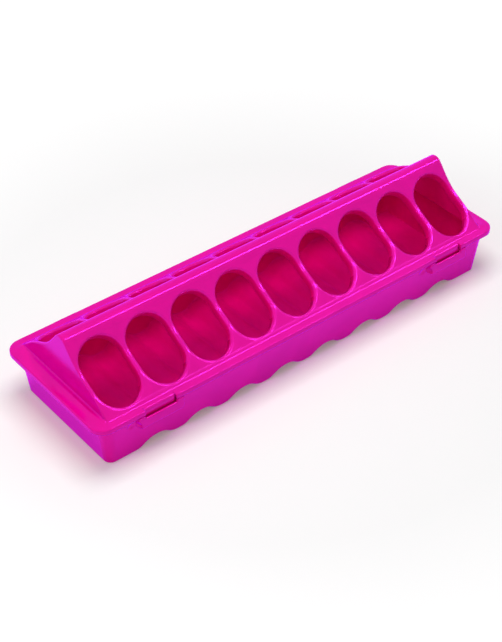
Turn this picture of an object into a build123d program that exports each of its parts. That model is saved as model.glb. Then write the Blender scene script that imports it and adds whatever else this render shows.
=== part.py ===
from build123d import *
from math import asin, atan2, cos, degrees, radians, sin, tan
import os

# Trough feeder for chicks: a moulded trough with a wavy floor, and a gable lid with oval feeding holes.
# X runs along the trough, -Y is the front and +Z is up. The origin is on the ground under the middle.
# All sizes are in millimetres and degrees.

# The lid's rim, which is the feeder's outline seen from above
rim_length = 508.0
rim_width = 160.0
rim_corner_radius = 18.0
rim_top = 55.0  # height of the flat rim above the ground
rim_edge_chamfer = 0.9
skirt_drop = 5.4  # how far the rim's edge turns down
wall = 2.0  # moulded wall, the same in both pieces

# The gable on the lid
rim_flat = 8.55  # flat rim in front of the gable's foot, on the long sides
rim_flat_end = 16.4  # the same at the two ends
gable_slope = 39.5
ridge_round = 9.3  # the ridge's round starts this far down the slope from the sharp ridge
gable_end_radius = 1.3  # round between the sloping panels and the end walls
gable_foot_radius = 1.0

# The feeding holes, one row in each panel. A row has as many as fit.
hole_width = 45.6
web_width = 6.9  # panel left between two holes
hole_foot_gap = 6.8  # from the gable's foot to the hole, along the slope
hole_ridge_gap = 15.8  # from the hole to the sharp ridge, along the slope
lip_flare = 3.3  # the lip opens out this far beyond the hole
lip_depth = 5.4  # and rolls inward over this depth
lip_steps = 2  # straight steps that make up the lip's round
collar_length = 3.6  # straight collar below the lip

# The trough
flange = 1.95  # the trough's rim stands out this far from its wall, on the long sides
flange_end = 6.5  # the same at the two ends
foot_corner_radius = 9.7
draft = 6.6  # the walls lean out
foot_edge_chamfer = 1.8
arch_height = 8.4  # the floor rises this far between two holes
arch_crest_radius = 23.0
foot_land = 5.0  # flat that rests on the ground, under each hole
seat_gap = 0.3  # between the trough's rim and the lid resting on it
rim_side_gap = 0.5  # between the trough's rim and the lid's skirt

# The four clips: two latches in front and two hinges at the back
clip_inset = 70.0  # from the rim's end to a clip's middle
tongue_width = 32.0  # the lid's tongue in front, and its hook at the back
tongue_side_gap = 1.5
tongue_thickness = 1.4
tongue_wall_gap = 0.5  # between the tongue and the top of the trough's wall
tongue_overhang = 2.0  # how far the tongue reaches below its loop
shoulder_radius = 3.0
barb_nose = 0.5
barb_gap = 0.6  # between the barb and the loop as it passes
loop_width = 51.4  # the loop on the trough that takes the tongue
loop_height = 10.5
loop_top = 46.5
loop_wall = 2.2
loop_corner_radius = 3.0
loop_edge_radius = 0.9

# The hinges at the back: a hook on the lid snaps over a pin on the trough
pin_radius = 1.5
pin_height = 44.5
pin_gap = 0.3
hook_wall = 1.5
hook_mouth = 90.0  # the part of the turn that the hook leaves open, facing down
hook_wall_gap = 0.4  # between the hook as it turns and the trough's wall
ear_wall = 2.4
ear_round = 1.4  # plastic around the pin's end
ear_gap = 0.6  # between the hook's side and the ear
ear_foot = 14.0  # height of the ear where it meets the wall

# A shallow round dimple in the front wall beside each loop
dimple_width = 8.5
dimple_depth = 1.1
dimple_offset = -31.0  # from the loop's middle
dimple_height = 39.0

# Sizes that follow from those above
slope_sin = sin(radians(gable_slope))
slope_cos = cos(radians(gable_slope))
slope_tan = tan(radians(gable_slope))
gable_length = rim_length - 2 * rim_flat_end
gable_foot = rim_width / 2 - rim_flat
ridge_radius = ridge_round / slope_tan
hole_length = gable_foot / slope_cos - hole_foot_gap - hole_ridge_gap
hole_up_slope = hole_foot_gap + hole_length / 2
hole_pitch = hole_width + web_width
holes_reach = gable_length - 2 * gable_end_radius - 2 * lip_flare
holes_per_side = int((holes_reach + web_width) / hole_pitch)
collar_depth = lip_depth + collar_length
skirt_bottom = rim_top - skirt_drop
seat = rim_top - wall - seat_gap
lean = tan(radians(draft))
level_wall = wall / cos(radians(draft))
foot_length = rim_length - 2 * (wall + rim_side_gap + flange_end + seat * lean)
foot_width = rim_width - 2 * (wall + rim_side_gap + flange + seat * lean)
half_arch = (hole_pitch - foot_land) / 2
arch_radii = (half_arch**2 + arch_height**2) / (2 * arch_height)  # crest radius and valley radius together
arch_turn = degrees(asin(half_arch / arch_radii))
notch_width = tongue_width + 2 * tongue_side_gap
clip_spacing = rim_length - 2 * clip_inset
clip_places = [(-clip_spacing / 2, 0), (clip_spacing / 2, 0)]


def wall_face(height):
    # How far the outside of the trough's long walls is from the middle, at a height
    return foot_width / 2 + height * lean


tongue_inner = wall_face(seat) + tongue_wall_gap
tongue_outer = tongue_inner + tongue_thickness
loop_inner = tongue_outer + barb_nose + barb_gap
loop_outer = loop_inner + loop_wall
hook_radius = pin_radius + pin_gap + hook_wall
pin_y = wall_face(pin_height) + (hook_radius + hook_wall_gap) / cos(radians(draft))


def arch_bar(rise):
    # One arch of the floor as a bar across the trough. With a rise it is the arch's upper side.
    crest_radius = arch_crest_radius + rise
    valley_radius = arch_radii - arch_crest_radius - rise
    valley_height = arch_radii - arch_crest_radius
    with BuildPart() as bar:
        with BuildSketch(Plane.XZ):
            with BuildLine():
                left = CenterArc((-half_arch, valley_height), valley_radius, -90, arch_turn)
                CenterArc((0, arch_height - arch_crest_radius), crest_radius, 90 - arch_turn, 2 * arch_turn)
                right = CenterArc((half_arch, valley_height), valley_radius, -90, -arch_turn)
                Line(left @ 0, right @ 0)
            make_face()
        extrude(amount=rim_width, both=True)
    return bar.part


def trough_block(inset, floor, top, edge_chamfer):
    # The leaning block of the trough with its wavy underside, drawn in by inset and standing on floor
    length = foot_length + 2 * (floor * lean - inset)
    width = foot_width + 2 * (floor * lean - inset)
    bar = arch_bar(floor)
    with BuildPart() as block:
        with BuildSketch(Plane.XY.offset(floor)):
            RectangleRounded(length, width, foot_corner_radius - inset)
        extrude(amount=top - floor, taper=-draft)
        with GridLocations(hole_pitch, 0, holes_per_side - 1, 1):
            add(bar, mode=Mode.SUBTRACT)
        if edge_chamfer:
            # The lower edge all round, without the straight edges that cross the floor at the arches
            low = block.edges().filter_by_position(Axis.Z, floor - wall, floor + arch_height + wall)
            long_sides = low.filter_by(lambda edge: abs(edge.center().Y) > wall)
            ends = low.filter_by(lambda edge: abs(edge.center().X) > length / 2 - wall)
            outline = long_sides + ends.filter_by(lambda edge: abs(edge.center().Y) <= wall)
            chamfer(outline.filter_by(lambda edge: edge.length > wall), edge_chamfer)
    return block.part


def gable_block(inset, bottom, end_radius):
    # The gable's block standing on bottom, with every face drawn in by inset
    apex = rim_top + gable_foot * slope_tan - inset / slope_cos
    spread = (apex - bottom) / slope_tan
    with BuildPart() as block:
        with BuildSketch(Plane.YZ) as section:
            with BuildLine():
                Polyline((-spread, bottom), (0, apex), (spread, bottom), close=True)
            make_face()
            fillet(section.vertices().sort_by(Axis.Y)[-1], ridge_radius - inset)
        extrude(amount=gable_length / 2 - inset, both=True)
        if end_radius:
            ends = block.faces().sort_by(Axis.X)
            rims = ends[0].edges() + ends[-1].edges()
            fillet(rims.filter_by(lambda edge: edge.center().Z > bottom + wall), end_radius)
    return block.part


# The loop on the trough that holds the lid's tongue, drawn at the middle of the front wall
loop_middle = loop_top - loop_height / 2
loop_root = foot_width / 2
with BuildPart() as loop:
    with BuildSketch(Plane.XZ.offset(loop_root)) as face:
        with Locations((0, loop_middle)):
            Rectangle(loop_width, loop_height)
        fillet(face.vertices().group_by(Axis.Y)[0], loop_corner_radius)
    extrude(amount=loop_outer - loop_root)
    fillet(loop.faces().sort_by(Axis.Y)[0].edges(), loop_edge_radius)
    with BuildSketch(Plane.XZ.offset(loop_root)):
        with Locations((0, loop_middle)):
            Rectangle(notch_width, 2 * loop_height)
    extrude(amount=loop_inner - loop_root, mode=Mode.SUBTRACT)

# The pin with its two ears, drawn at the middle of the back wall
hook_width = notch_width - 2 * (tongue_side_gap + ear_wall + ear_gap)
ear_inside = hook_width / 2 + ear_gap
with BuildPart() as bearing:
    with BuildSketch(Plane.YZ.offset(ear_inside)) as ear:
        with Locations((pin_y, pin_height)):
            Circle(pin_radius + ear_round)
        with Locations((foot_width / 2, pin_height + ear_round - ear_foot / 2)):
            Rectangle(wall, ear_foot)
        make_hull(ear.edges())
    extrude(amount=ear_wall)
    mirror(about=Plane.YZ)
    with BuildSketch(Plane.YZ):
        with Locations((pin_y, pin_height)):
            Circle(pin_radius)
    extrude(amount=ear_inside, both=True)

with BuildPart() as trough:
    add(trough_block(0, 0, seat, foot_edge_chamfer))
    with BuildSketch(Plane.XY.offset(seat)):
        edge_step = 2 * (wall + rim_side_gap)
        RectangleRounded(rim_length - edge_step, rim_width - edge_step, rim_corner_radius - edge_step / 2)
        with GridLocations(clip_spacing, rim_width, 2, 2):
            Rectangle(notch_width, rim_width - 2 * wall_face(seat), mode=Mode.SUBTRACT)
    extrude(amount=-wall)
    with Locations(*clip_places):
        add(loop)
        add(bearing)
    add(trough_block(level_wall, wall, seat + wall, 0), mode=Mode.SUBTRACT)
    ball_radius = ((dimple_width / 2) ** 2 + dimple_depth**2) / (2 * dimple_depth)
    ball_out = ball_radius - dimple_depth
    dimple_y = -wall_face(dimple_height) - ball_out * cos(radians(draft))
    dimple_z = dimple_height - ball_out * sin(radians(draft))
    with Locations((dimple_offset, dimple_y, dimple_z)):
        with Locations(*clip_places):
            Sphere(ball_radius, mode=Mode.SUBTRACT)

# The lid's tongue, drawn at the middle of the front
tongue_bottom = loop_top - loop_height - tongue_overhang
barb_top = loop_top - loop_height - barb_gap
shoulder_start = tongue_outer - shoulder_radius
with BuildPart() as tongue:
    with BuildSketch(Plane.YZ):
        with BuildLine():
            Polyline(
                (-tongue_outer, rim_top - shoulder_radius),
                (-tongue_outer, barb_top),
                (-tongue_outer - barb_nose, barb_top - barb_nose),
                (-tongue_outer, tongue_bottom),
                (-tongue_inner, tongue_bottom),
                (-tongue_inner, rim_top - wall),
                (-shoulder_start + wall, rim_top - wall),
                (-shoulder_start + wall, rim_top),
                (-shoulder_start, rim_top),
            )
            RadiusArc((-shoulder_start, rim_top), (-tongue_outer, rim_top - shoulder_radius), -shoulder_radius)
        make_face()
    extrude(amount=tongue_width / 2, both=True)

# The lid's hook, drawn at the middle of the back
mouth_reach = 2 * hook_radius
mouth_spread = mouth_reach * tan(radians(hook_mouth / 2))
with BuildPart() as hook:
    with BuildSketch(Plane.YZ):
        with Locations((pin_y, pin_height)):
            Circle(hook_radius)
        with Locations((pin_y, (pin_height + rim_top) / 2)):
            Rectangle(wall, rim_top - pin_height)
        with Locations((pin_y, pin_height)):
            Circle(pin_radius + pin_gap, mode=Mode.SUBTRACT)
        with BuildLine(Plane.YZ):
            Polyline(
                (pin_y, pin_height),
                (pin_y - mouth_spread, pin_height - mouth_reach),
                (pin_y + mouth_spread, pin_height - mouth_reach),
                close=True,
            )
        make_face(mode=Mode.SUBTRACT)
    extrude(amount=hook_width / 2, both=True)

# The two panels as planes: the origin is at the gable's foot and local Y runs up the slope
front_panel = Plane(origin=(0, -gable_foot, rim_top), x_dir=(1, 0, 0), z_dir=(0, -slope_sin, slope_cos))
back_panel = Plane(origin=(0, gable_foot, rim_top), x_dir=(-1, 0, 0), z_dir=(0, slope_sin, slope_cos))

with BuildPart() as lid:
    with BuildSketch(Plane.XY.offset(rim_top)):
        RectangleRounded(rim_length, rim_width, rim_corner_radius)
    extrude(amount=-skirt_drop)
    chamfer(lid.faces().sort_by(Axis.Z)[-1].edges(), rim_edge_chamfer)
    add(gable_block(0, rim_top - wall, gable_end_radius))
    level_edges = lid.edges().filter_by_position(Axis.Z, rim_top, rim_top)
    inside_rim = level_edges.filter_by(lambda edge: abs(edge.center().Y) < gable_foot + rim_edge_chamfer)
    foot_line = inside_rim.filter_by(lambda edge: abs(edge.center().X) < gable_length / 2 + rim_edge_chamfer)
    fillet(foot_line, gable_foot_radius)
    with BuildSketch(Plane.XY.offset(skirt_bottom)):
        RectangleRounded(rim_length - 2 * wall, rim_width - 2 * wall, rim_corner_radius - wall)
    extrude(amount=skirt_drop - wall, mode=Mode.SUBTRACT)
    add(gable_block(wall, skirt_bottom, 0), mode=Mode.SUBTRACT)
    with BuildSketch(front_panel, back_panel):
        with Locations((0, hole_up_slope)):
            with GridLocations(hole_pitch, 0, holes_per_side, 1):
                SlotOverall(hole_length + 2 * wall, hole_width + 2 * wall, rotation=90)
    extrude(amount=-collar_depth)
    with BuildSketch(front_panel, back_panel):
        with Locations((0, hole_up_slope)):
            with GridLocations(hole_pitch, 0, holes_per_side, 1):
                SlotOverall(hole_length, hole_width, rotation=90)
    extrude(amount=-collar_depth - wall, mode=Mode.SUBTRACT)
    for step in range(lip_steps):
        turn = radians(90 * step / lip_steps)
        next_turn = radians(90 * (step + 1) / lip_steps)
        flare = lip_flare * (1 - sin(turn))
        depth = lip_depth * (1 - cos(turn))
        drop = lip_depth * (cos(turn) - cos(next_turn))
        narrowing = lip_flare * (sin(next_turn) - sin(turn))
        with BuildSketch(front_panel.offset(-depth), back_panel.offset(-depth)):
            with Locations((0, hole_up_slope)):
                with GridLocations(hole_pitch, 0, holes_per_side, 1):
                    SlotOverall(hole_length + 2 * flare, hole_width + 2 * flare, rotation=90)
        extrude(amount=-drop, taper=degrees(atan2(narrowing, drop)), mode=Mode.SUBTRACT)
    with BuildSketch(Plane.XY.offset(skirt_bottom)):
        with GridLocations(clip_spacing, rim_width, 2, 2):
            Rectangle(notch_width, 2 * wall)
    extrude(amount=skirt_drop - wall, mode=Mode.SUBTRACT)
    with BuildSketch(Plane.XY.offset(rim_top)):
        with Locations((0, -rim_width / 2)):
            with Locations(*clip_places):
                Rectangle(notch_width, rim_width - 2 * shoulder_start)
    extrude(amount=-wall, mode=Mode.SUBTRACT)
    with Locations(*clip_places):
        add(tongue)
        add(hook)

os.makedirs("parts", exist_ok=True)
trough.part.label = "trough"
export_step(trough.part, "parts/trough.step")
lid.part.label = "lid"
export_step(lid.part, "parts/lid.step")
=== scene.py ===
import math

import bmesh
import bpy
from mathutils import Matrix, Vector


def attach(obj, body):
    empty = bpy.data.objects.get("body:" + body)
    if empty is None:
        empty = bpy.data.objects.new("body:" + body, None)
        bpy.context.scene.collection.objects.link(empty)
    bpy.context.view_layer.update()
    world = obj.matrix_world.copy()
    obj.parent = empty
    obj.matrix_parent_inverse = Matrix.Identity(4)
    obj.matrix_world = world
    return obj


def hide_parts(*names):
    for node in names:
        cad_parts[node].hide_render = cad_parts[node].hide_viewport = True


# Chick trough feeder: two glossy magenta mouldings, a trough with a wavy floor and its flip-top gable lid.
# The dictionaries give the shapes in mm, the studio and the camera in m.

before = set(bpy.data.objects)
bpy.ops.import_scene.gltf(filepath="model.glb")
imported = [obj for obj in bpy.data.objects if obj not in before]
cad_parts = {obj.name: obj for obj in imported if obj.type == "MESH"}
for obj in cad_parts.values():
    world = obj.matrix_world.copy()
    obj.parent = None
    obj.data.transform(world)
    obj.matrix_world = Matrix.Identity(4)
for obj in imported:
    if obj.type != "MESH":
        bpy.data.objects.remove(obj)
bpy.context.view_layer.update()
print("frame loaded:", sorted(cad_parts))

mergeDistance = 0.00001  # m, vertices nearer than this become one
loose = 0.1  # mm, how near a face or a vertex lies to the place where it is looked for
close = 0.05
hair = 0.01


def hexToLinear(code):
    channels = [int(code[i:i + 2], 16) / 255 for i in (1, 3, 5)]
    return [c / 12.92 if c <= 0.04045 else ((c + 0.055) / 1.055) ** 2.4 for c in channels] + [1.0]


def clamped(share):
    return min(1, max(0, share))


def addNode(tree, kind, settings=None, links=None):
    # one node: settings are attributes or sockets by name, links go from a socket's name to an output
    node = tree.nodes.new(kind)
    for name, value in (settings or {}).items():
        if hasattr(node, name):
            setattr(node, name, value)
        else:
            node.inputs[name].default_value = value
    for name, source in (links or {}).items():
        tree.links.new(source, node.inputs[name])
    return node


# Injection-moulded polypropylene, dyed magenta right through. It gives a hard, wet-looking gloss with
# soft edges. The gloss itself looks violet, and the colour goes red in the holes, where the light bounces
# from pink to pink.
polypropylene = {
    "colour": "#EA0078",
    "flowColour": "#E00070",  # faint flow marks where the melt cooled
    "flowSize": 45.0,  # mm
    "flowDetail": 3.0,
    "flowWarp": 1.2,
    "flowRange": (0.35, 0.65),  # of the noise, over which the flow colour turns into the other
    "glossTint": "#F23CFF",
    "glossStrength": 3.2,  # how much stronger than plain plastic's
    "roughness": 0.16,
    "roughnessRange": (0.85, 1.2),  # of the roughness, over the flow marks
    "ior": 1.6,
    "edgeRadius": 2.0,  # mm, the moulding has no sharp edge
    "edgeSamples": 8,
    "grainSize": 1.1,  # mm, the mould's spark-eroded texture, drawn coarser than it is so that it shows
    "grainDepth": 0.012,  # mm
    "grainDetail": 2.0,
    "waveSize": 30.0,  # mm, sink and flow waves seen in the reflections
    "waveDepth": 0.06,  # mm
    "waveDetail": 1.0,
}


def makePolypropylene(name, look):
    material = bpy.data.materials.new(name)
    material.use_nodes = True
    tree = material.node_tree
    tree.nodes.clear()
    place = {"Vector": addNode(tree, "ShaderNodeTexCoord").outputs["Object"]}
    flowLook = {"Scale": 1000 / look["flowSize"], "Detail": look["flowDetail"],
                "Distortion": look["flowWarp"]}
    flow = addNode(tree, "ShaderNodeTexNoise", flowLook, place)
    colour = addNode(tree, "ShaderNodeValToRGB", {}, {"Fac": flow.outputs["Fac"]})
    stops = zip(colour.color_ramp.elements, look["flowRange"], (look["flowColour"], look["colour"]))
    for element, position, code in stops:
        element.position = position
        element.color = hexToLinear(code)
    smoothest, roughest = (look["roughness"] * share for share in look["roughnessRange"])
    polish = addNode(tree, "ShaderNodeMapRange", {"To Min": smoothest, "To Max": roughest},
                     {"Value": flow.outputs["Fac"]})

    softLook = {"samples": look["edgeSamples"], "Radius": look["edgeRadius"] / 1000}
    soft = addNode(tree, "ShaderNodeBevel", softLook)
    waveLook = {"Scale": 1000 / look["waveSize"], "Detail": look["waveDetail"]}
    wave = addNode(tree, "ShaderNodeTexNoise", waveLook, place)
    grainLook = {"Scale": 1000 / look["grainSize"], "Detail": look["grainDetail"]}
    grain = addNode(tree, "ShaderNodeTexNoise", grainLook, place)
    waveBump = addNode(tree, "ShaderNodeBump", {"Strength": 1.0, "Distance": look["waveDepth"] / 1000},
                       {"Height": wave.outputs["Fac"], "Normal": soft.outputs["Normal"]})
    grainBump = addNode(tree, "ShaderNodeBump", {"Strength": 1.0, "Distance": look["grainDepth"] / 1000},
                        {"Height": grain.outputs["Fac"], "Normal": waveBump.outputs["Normal"]})

    # The gloss is a shader of its own, because it is tinted, and it grows towards grazing angles
    bodyLook = {"Specular IOR Level": 0.0, "Roughness": look["roughness"]}
    body = addNode(tree, "ShaderNodeBsdfPrincipled", bodyLook,
                   {"Base Color": colour.outputs["Color"], "Normal": grainBump.outputs["Normal"]})
    gloss = addNode(tree, "ShaderNodeBsdfAnisotropic", {"Color": hexToLinear(look["glossTint"])},
                    {"Roughness": polish.outputs["Result"], "Normal": grainBump.outputs["Normal"]})
    angle = addNode(tree, "ShaderNodeFresnel", {"IOR": look["ior"]}, {"Normal": waveBump.outputs["Normal"]})
    share = addNode(tree, "ShaderNodeMath", {"operation": "MULTIPLY", "use_clamp": True},
                    {0: angle.outputs["Fac"]})
    share.inputs[1].default_value = look["glossStrength"]
    both = addNode(tree, "ShaderNodeMixShader", {},
                   {0: share.outputs[0], 1: body.outputs[0], 2: gloss.outputs[0]})
    addNode(tree, "ShaderNodeOutputMaterial", {}, {"Surface": both.outputs[0]})
    return material


# The side that shrinks on to the mould's core comes out duller than the polished outside
coreSide = dict(polypropylene, glossStrength=0.9, roughness=0.45)

plastic = makePolypropylene("injection-moulded magenta polypropylene", polypropylene)
dullPlastic = makePolypropylene("magenta polypropylene, core side", coreSide)
print("plastic made")


def mergedCopy(node):
    form = bmesh.new()
    form.from_mesh(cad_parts[node].data)
    bmesh.ops.remove_doubles(form, verts=form.verts, dist=mergeDistance)
    return form


def cutAcross(form, faces, place, direction):
    # Cut the faces along a plane, so that they can bend there
    edges = {edge for face in faces for edge in face.edges}
    verts = {vert for face in faces for vert in face.verts}
    bmesh.ops.bisect_plane(form, geom=faces + list(edges) + list(verts), dist=mergeDistance,
                           plane_co=place, plane_no=direction)


# The corners of the rim and of the trough are tighter than a plain round
cornerShape = {
    "rimCentre": (236.0, 62.0),  # mm, of the corner's round
    "rimTightness": 0.87,  # the new radius as a share of the old
    "footCentre": (229.2, 59.75),
    "footRadius": 9.7,
    "footLean": 0.1157,  # mm that the wall leans out in each mm of height
    "footTightness": 0.8,
    "wall": 2.0,
    "wallMatch": 0.15,  # mm, a vertex this near to the leaning wall goes with it at any height
    "flangeHeight": 50.0,
}


def cornerFactor(c, s, tightness):
    # How far out the tighter corner lies in one direction, as a share of the old radius
    rest = 1 - tightness
    reach = rest * (c + s) + math.sqrt(max(0, tightness ** 2 - (rest * (c - s)) ** 2))
    return reach if reach * min(c, s) > rest else 1 / max(c, s)


def tightenCorners(form, shape, leaning):
    for vert in form.verts:
        x, y, z = abs(vert.co.x) * 1000, abs(vert.co.y) * 1000, vert.co.z * 1000
        centre, tightness = shape["rimCentre"], shape["rimTightness"]
        if leaning:
            reach = math.hypot(x - shape["footCentre"][0], y - shape["footCentre"][1])
            face = shape["footRadius"] + shape["footLean"] * z
            onWall = min(abs(reach - face), abs(reach - face + shape["wall"])) < shape["wallMatch"]
            if z < shape["flangeHeight"] or onWall:
                centre, tightness = shape["footCentre"], shape["footTightness"]
        across, along = x - centre[0], y - centre[1]
        if across <= 0 or along <= 0:
            continue
        radius = math.hypot(across, along)
        more = cornerFactor(across / radius, along / radius, tightness) - 1
        vert.co.x += math.copysign(across * more / 1000, vert.co.x)
        vert.co.y += math.copysign(along * more / 1000, vert.co.y)


shading = {
    "creaseAngle": 20.0,  # degrees, a sharper turn than this stays an edge
    "normalWeight": 50,  # the larger faces lead, so that flat walls look flat
}


def finishMoulding(form, node, body):
    bmesh.ops.triangulate(form, faces=[face for face in form.faces if len(face.verts) > 4])
    for face in form.faces:
        face.smooth = True
    crease = math.radians(shading["creaseAngle"])
    for edge in form.edges:
        edge.smooth = not (len(edge.link_faces) == 2 and edge.calc_face_angle(0) > crease)
    mesh = bpy.data.meshes.new(node + "_moulding")
    form.to_mesh(mesh)
    form.free()
    mesh.materials.append(plastic)
    mesh.materials.append(dullPlastic)
    piece = bpy.data.objects.new(node + "_moulding", mesh)
    bpy.context.scene.collection.objects.link(piece)
    weights = piece.modifiers.new("weighted", "WEIGHTED_NORMAL")
    weights.keep_sharp = True
    weights.weight = shading["normalWeight"]
    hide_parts(node)
    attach(piece, body)
    print(node, "has", len(mesh.polygons), "faces")


# The loops close up to the rim beside the notch that takes the tongue
troughShape = {
    "footWidth": 69.45,  # mm, half
    "footLength": 238.9,
    "lean": 0.1157,  # mm that the wall leans out in each mm of height
    "insideMargin": 1.0,  # mm, half of the wall, between its outer face and its inner one
    "inwardTurn": 1.0,  # mm, how plainly a face looks at the middle
    "floorTurn": 0.3,  # a face turned up by more than this is floor
    "clipMiddle": 184.0,
    "notchHalf": 17.5,
    "loopFront": 74.5,  # mm, the loops' faces lie further out than this, between the next two heights
    "loopFrom": 30.0,
    "loopTo": 47.1,
    "loopTop": 46.5,
    "loopRise": 2.7,
    "riseHeight": 3.1,  # mm of the loop's top that stretch as it rises
    "riseRun": 0.8,  # mm over which the loop's top steps up
    "armReach": 9.0,  # mm beside the notch
}


def turnInside(form, shape):
    # Material 1 is the duller core side, which is the inside of the trough
    for face in form.faces:
        middle = face.calc_center_median() * 1000
        halfWidth = shape["footWidth"] + middle.z * shape["lean"] - shape["insideMargin"]
        halfLength = shape["footLength"] + middle.z * shape["lean"] - shape["insideMargin"]
        inward = face.normal.x * middle.x + face.normal.y * middle.y < -shape["inwardTurn"]
        within = abs(middle.y) < halfWidth and abs(middle.x) < halfLength
        face.material_index = int(within and (inward or face.normal.z > shape["floorTurn"]))


def onLoop(face, shape):
    middle = face.calc_center_median()
    inFront = middle.y < -shape["loopFront"] / 1000
    return inFront and shape["loopFrom"] / 1000 < middle.z < shape["loopTo"] / 1000


def raiseLoops(form, shape):
    for side in (-1, 1):
        for half in (-1, 1):
            for more in (0, shape["riseRun"]):
                near = [face for face in form.faces if onLoop(face, shape)]
                place = side * (shape["clipMiddle"] + half * (shape["notchHalf"] + more)) / 1000
                cutAcross(form, near, (place, 0, 0), (1, 0, 0))
    for vert in form.verts:
        across = abs(abs(vert.co.x) * 1000 - shape["clipMiddle"]) - shape["notchHalf"]
        wall = shape["footWidth"] + vert.co.z * 1000 * shape["lean"]
        beside = shape["riseRun"] - close < across < shape["armReach"]
        if beside and -vert.co.y * 1000 > wall + loose:
            low = vert.co.z * 1000 - (shape["loopTop"] - shape["riseHeight"])
            if 0 < low < shape["riseHeight"] + loose:
                vert.co.z += shape["loopRise"] * low / shape["riseHeight"] / 1000


troughForm = mergedCopy("trough")
turnInside(troughForm, troughShape)
raiseLoops(troughForm, troughShape)
tightenCorners(troughForm, cornerShape, True)
print("trough: inside turned dull, loops raised, corners tightened")
finishMoulding(troughForm, "trough", "trough")

# The lid's two panels are a little hollow between the ridge and the foot, and the lips of its holes are
# rolled in less at the ends of a hole than at the webs
lidShape = {
    "footSpread": 71.45,  # mm from the middle to the gable's foot
    "footHeight": 55.0,
    "slope": 39.5,  # degrees
    "hollow": 4.8,  # mm, deepest
    "hollowFrom": 19.0,  # mm up the slope
    "hollowTo": 91.0,
    "hollowDepth": 22.0,  # mm behind the panel, where the bend has faded out
    "hollowFade": 8.0,
    "footFade": 5.0,  # mm above the foot, where the bend has its full size
    "cutStep": 6.0,  # mm between the cuts that let the panels bend
    "cutAbove": 50.0,  # mm, height from which faces are cut
    "holePitch": 52.5,
    "holeMiddle": 41.8,  # mm up the slope
    "holeStraight": 12.2,  # half of a hole's straight sides
    "holeRadius": 22.8,
    "lastHole": 4,  # counted from the middle one
    "lipWidth": 3.4,  # mm, as the CAD has it
    "lipDepth": 5.4,
    "collarDepth": 9.0,  # mm behind the panel, down to which the holes' ends shift
    "endLip": (0.55, 0.35),  # what is left of the lip's width and depth at a hole's ends
    "webLip": (0.95, 0.6),
    "lowerEndShift": -1.1,  # mm up the slope
    "upperEndShift": -0.5,
    "outsideTurn": 0.3,  # a face turned up or out by more than this is on the polished side
    "endTurn": 0.7,  # the same for the end walls, by how squarely they face along the feeder
    "endWall": 237.6,  # mm from the middle
    "endRound": 13.0,  # mm, hollow round where the end wall meets the rim
    "endRoundSteps": 4,
    "endRoundFade": 7.0,
    "endFootTurn": 0.5,  # the faces that the round bends look up or out by more than this
    "clipMiddle": 184.0,
    "tongueHalf": 16.0,
    "tongueWidening": 1.1,  # mm each side, so that the slits beside the tongue are fine
    "tongueFrom": 70.0,  # mm in front of the middle
}


def panelAxes(shape, side):
    # The foot of a panel, the way up its slope and the way out of it
    slope = math.radians(shape["slope"])
    foot = Vector((0, side * shape["footSpread"], shape["footHeight"])) / 1000
    up = Vector((0, -side * math.cos(slope), math.sin(slope)))
    outward = Vector((0, side * math.sin(slope), math.cos(slope)))
    return foot, up, outward


def turnOutside(form, shape):
    # Material 0 is the polished outside of the lid, material 1 the duller core side
    for face in form.faces:
        middle, turn = face.calc_center_median() * 1000, face.normal
        outward = panelAxes(shape, math.copysign(1, middle.y))[2]
        outside = turn.dot(outward) > shape["outsideTurn"] or turn.z > shape["outsideTurn"]
        atEnd = abs(middle.x) > shape["endWall"] - loose and turn.x * middle.x > 0
        endFace = abs(turn.x) > shape["endTurn"] and atEnd
        skirtFace = middle.z < shape["footHeight"] and turn.x * middle.x + turn.y * middle.y > 0
        face.material_index = 0 if outside or endFace or skirtFace else 1


def widenTongues(form, shape):
    for vert in form.verts:
        across = abs(vert.co.x) * 1000 - shape["clipMiddle"]
        if vert.co.y * 1000 < -shape["tongueFrom"] and abs(abs(across) - shape["tongueHalf"]) < close:
            vert.co.x += math.copysign(shape["tongueWidening"] / 1000, vert.co.x * across)


def rollLips(form, shape):
    for side in (-1, 1):
        foot, up, outward = panelAxes(shape, side)
        for vert in form.verts:
            depth = -(vert.co - foot).dot(outward) * 1000
            hole = round(vert.co.x * 1000 / shape["holePitch"])
            inCollar = -loose < depth < shape["collarDepth"] + loose
            if side * vert.co.y <= 0 or abs(hole) > shape["lastHole"] or not inCollar:
                continue
            across = vert.co.x * 1000 - hole * shape["holePitch"]
            along = (vert.co - foot).dot(up) * 1000 - shape["holeMiddle"]
            beyond = along - max(-shape["holeStraight"], min(shape["holeStraight"], along))
            radius = math.hypot(across, beyond)
            flare = radius - shape["holeRadius"]
            if not -loose < flare < shape["lipWidth"]:
                continue
            lipHere = shape["lipWidth"] * (1 - depth / shape["lipDepth"])
            if depth < shape["lipDepth"] + loose and flare < lipHere + loose:
                share = (abs(across) / radius) ** 2  # 0 at a hole's ends, 1 at the webs
                lips = zip(shape["endLip"], shape["webLip"])
                width, sink = (end + (web - end) * share for end, web in lips)
                vert.co.x += across * flare * (width - 1) / radius / 1000
                vert.co += up * beyond * flare * (width - 1) / radius / 1000
                vert.co += outward * depth * (1 - sink) / 1000
            if abs(beyond) > hair:
                shift = shape["lowerEndShift"] if beyond < 0 else shape["upperEndShift"]
                vert.co += up * shift * abs(beyond) / radius / 1000


def besideEndFoot(face, shape, side):
    middle, turn = face.calc_center_median(), face.normal
    beyond = side * middle.x > (shape["endWall"] - loose) / 1000
    above = middle.z > (shape["footHeight"] - loose) / 1000
    return beyond and above and (turn.z > shape["endFootTurn"] or turn.x * side > shape["endFootTurn"])


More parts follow.
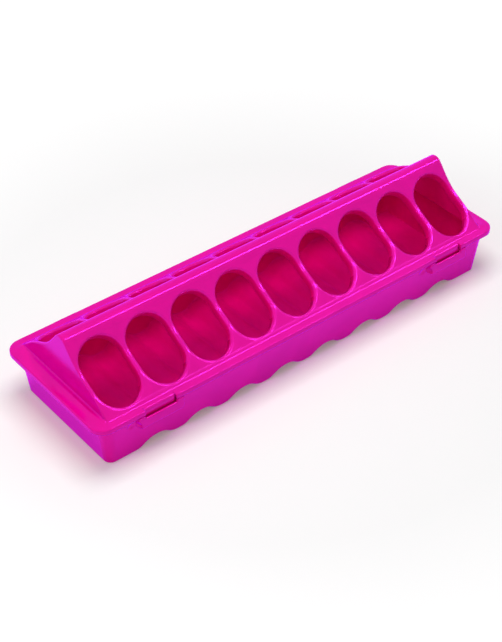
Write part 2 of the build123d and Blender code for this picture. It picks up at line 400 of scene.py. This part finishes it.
def roundEndFoot(form, shape):
    # A Bezier curve takes the place of the sharp foot between each end wall and the rim
    size, steps = shape["endRound"], shape["endRoundSteps"]
    for side in (-1, 1):
        for step in range(1, steps + 1):
            onRim = (side * (shape["endWall"] + size * step / steps), 0, 0)
            onEnd = (0, 0, shape["footHeight"] + size * step / steps)
            for point, direction in ((onRim, (1, 0, 0)), (onEnd, (0, 0, 1))):
                near = [face for face in form.faces if besideEndFoot(face, shape, side)]
                cutAcross(form, near, Vector(point) / 1000, direction)
    for vert in form.verts:
        out = abs(vert.co.x) * 1000 - shape["endWall"]
        height = vert.co.z * 1000 - shape["footHeight"]
        if not (-close < out < size and -hair < height < size):
            continue
        width = shape["footSpread"] - height / math.tan(math.radians(shape["slope"]))
        fade = clamped((width - abs(vert.co.y) * 1000) / shape["endRoundFade"])
        turn = 0.5 + (height - out) / (2 * size)  # 0 on the rim, 1 on the end wall
        vert.co.x += math.copysign((size * (1 - turn) ** 2 - out) * fade / 1000, vert.co.x)
        vert.co.z += (size * turn ** 2 - height) * fade / 1000


def hollowPanels(form, shape):
    for side in (-1, 1):
        foot, up, outward = panelAxes(shape, side)
        reach = shape["hollowFrom"] - shape["cutStep"]
        while reach < shape["hollowTo"]:
            half = [face for face in form.faces if side * face.calc_center_median().y > 0
                    and face.calc_center_median().z > shape["cutAbove"] / 1000]
            cutAcross(form, half, foot + up * reach / 1000, up)
            reach += shape["cutStep"]
        for vert in form.verts:
            if side * vert.co.y <= 0:
                continue
            along = (vert.co - foot).dot(up) * 1000
            turn = (along - shape["hollowFrom"]) / (shape["hollowTo"] - shape["hollowFrom"])
            if 0 < turn < 1:
                depth = -(vert.co - foot).dot(outward) * 1000
                height = vert.co.z * 1000 - shape["footHeight"]
                fade = clamped((shape["hollowDepth"] - depth) / shape["hollowFade"])
                fade *= clamped(height / shape["footFade"])
                vert.co -= outward * shape["hollow"] * math.sin(math.pi * turn) ** 2 * fade / 1000


lidForm = mergedCopy("lid")
turnOutside(lidForm, lidShape)
widenTongues(lidForm, lidShape)
rollLips(lidForm, lidShape)
print("lid: inside turned dull, tongues widened, lips rolled")
roundEndFoot(lidForm, lidShape)
hollowPanels(lidForm, lidShape)
tightenCorners(lidForm, cornerShape, False)
print("lid: end walls rounded, panels hollowed, corners tightened")
finishMoulding(lidForm, "lid", "lid")

studio = {
    "floorHalf": 6.0,  # m
    "paperColour": "#F0F0F0",
    "paperGlow": 0.15,  # what the camera sees on top of the light, so that lit paper is white
    "farGlow": 0.7,  # the same where the lamps no longer reach
    "glowFrom": 0.3,  # m from the middle
    "glowTo": 1.1,
    "worldLight": 0.34,  # on things, where the camera and reflections see white
}


def seenDirectly(tree, plain, seen):
    # One strength for the light on things and another for what the camera and reflections see
    ray = addNode(tree, "ShaderNodeLightPath")
    mirror = addNode(tree, "ShaderNodeMath", {"operation": "MAXIMUM"},
                     {0: ray.outputs["Is Glossy Ray"], 1: ray.outputs["Is Transmission Ray"]})
    looked = addNode(tree, "ShaderNodeMath", {"operation": "MAXIMUM"},
                     {0: ray.outputs["Is Camera Ray"], 1: mirror.outputs[0]})
    strength = addNode(tree, "ShaderNodeMapRange", {"To Min": plain, "To Max": seen},
                       {"Value": looked.outputs[0]})
    return strength.outputs["Result"]


def makePaper(name, look):
    paper = bpy.data.materials.new(name)
    paper.use_nodes = True
    tree = paper.node_tree
    tree.nodes.clear()
    matt = addNode(tree, "ShaderNodeBsdfDiffuse", {"Color": hexToLinear(look["paperColour"])})
    spot = addNode(tree, "ShaderNodeTexCoord")
    distance = addNode(tree, "ShaderNodeVectorMath", {"operation": "LENGTH"}, {0: spot.outputs["Object"]})
    glowRange = {"From Min": look["glowFrom"], "From Max": look["glowTo"],
                 "To Min": look["paperGlow"], "To Max": look["farGlow"]}
    falloff = addNode(tree, "ShaderNodeMapRange", glowRange, {"Value": distance.outputs["Value"]})
    strength = addNode(tree, "ShaderNodeMath", {"operation": "MULTIPLY"},
                       {0: falloff.outputs["Result"], 1: seenDirectly(tree, 0, 1)})
    glow = addNode(tree, "ShaderNodeEmission", {"Color": (1, 1, 1, 1)}, {"Strength": strength.outputs[0]})
    both = addNode(tree, "ShaderNodeAddShader", {}, {0: matt.outputs[0], 1: glow.outputs[0]})
    addNode(tree, "ShaderNodeOutputMaterial", {}, {"Surface": both.outputs[0]})
    return paper


floorMesh = bpy.data.meshes.new("floor")
floorForm = bmesh.new()
bmesh.ops.create_grid(floorForm, x_segments=1, y_segments=1, size=studio["floorHalf"])
floorForm.to_mesh(floorMesh)
floorForm.free()
floorMesh.materials.append(makePaper("matt white backdrop paper", studio))
floor = bpy.data.objects.new("floor", floorMesh)
bpy.context.scene.collection.objects.link(floor)

# Places and sizes in m, power in W
overheadLamp = {"centre": (0, 0, 1.5), "aim": (0, 0, 0), "width": 1.0, "height": 0.8, "power": 13.5}
stripLamp = {"centre": (0.65, -0.44, 1.12), "aim": (0.65, -0.44, 0),
             "width": 0.95, "height": 0.07, "power": 6.0}
fillLamp = {"centre": (-1.4, -0.2, 0.7), "aim": (0, 0, 0.05), "width": 0.8, "height": 0.8, "power": 4.0}


def softbox(name, look):
    lamp = bpy.data.lights.new(name, "AREA")
    lamp.shape = "RECTANGLE"
    lamp.size = look["width"]
    lamp.size_y = look["height"]
    lamp.energy = look["power"]
    thing = bpy.data.objects.new(name, lamp)
    thing.location = look["centre"]
    thing.rotation_euler = (Vector(look["aim"]) - Vector(look["centre"])).to_track_quat("-Z", "Y").to_euler()
    bpy.context.scene.collection.objects.link(thing)
    return thing


overhead = softbox("overhead softbox", overheadLamp)
overhead.visible_glossy = False  # a wide diffuser, too even to draw a highlight
strip = softbox("strip softbox", stripLamp)
strip.visible_diffuse = False  # a card of light for the highlights alone, so that it throws no second shadow
fill = softbox("left fill softbox", fillLamp)
fill.visible_glossy = False

world = bpy.data.worlds.new("white studio")
bpy.context.scene.world = world
world.use_nodes = True
sky = world.node_tree.nodes["Background"]
sky.inputs["Color"].default_value = (1, 1, 1, 1)
world.node_tree.links.new(seenDirectly(world.node_tree, studio["worldLight"], 1.0), sky.inputs["Strength"])
print("floor and lights set")

# Fitted to the photograph
camera = {
    "azimuth": -38.94,  # degrees
    "elevation": 39.36,
    "distance": 1.85016,  # m
    "target": (0.13129, 0.17988, -0.17621),
    "focalLength": 1524.45,  # pixels of the photograph
    "longSide": 642,  # pixels, the photograph's height, which the sensor's width stands for
    "sensor": 36.0,  # mm
}
lensData = bpy.data.cameras.new("camera")
lensData.sensor_width = camera["sensor"]
lensData.lens = camera["focalLength"] * camera["sensor"] / camera["longSide"]
shot = bpy.data.objects.new("camera", lensData)
azimuth = math.radians(camera["azimuth"])
elevation = math.radians(camera["elevation"])
level = math.cos(elevation)
back = Vector((math.sin(azimuth) * level, -math.cos(azimuth) * level, math.sin(elevation)))
shot.location = Vector(camera["target"]) + back * camera["distance"]
shot.rotation_euler = back.to_track_quat("Z", "Y").to_euler()
bpy.context.scene.collection.objects.link(shot)
bpy.context.scene.camera = shot
bpy.context.scene.view_settings.view_transform = "Standard"
print("camera set")
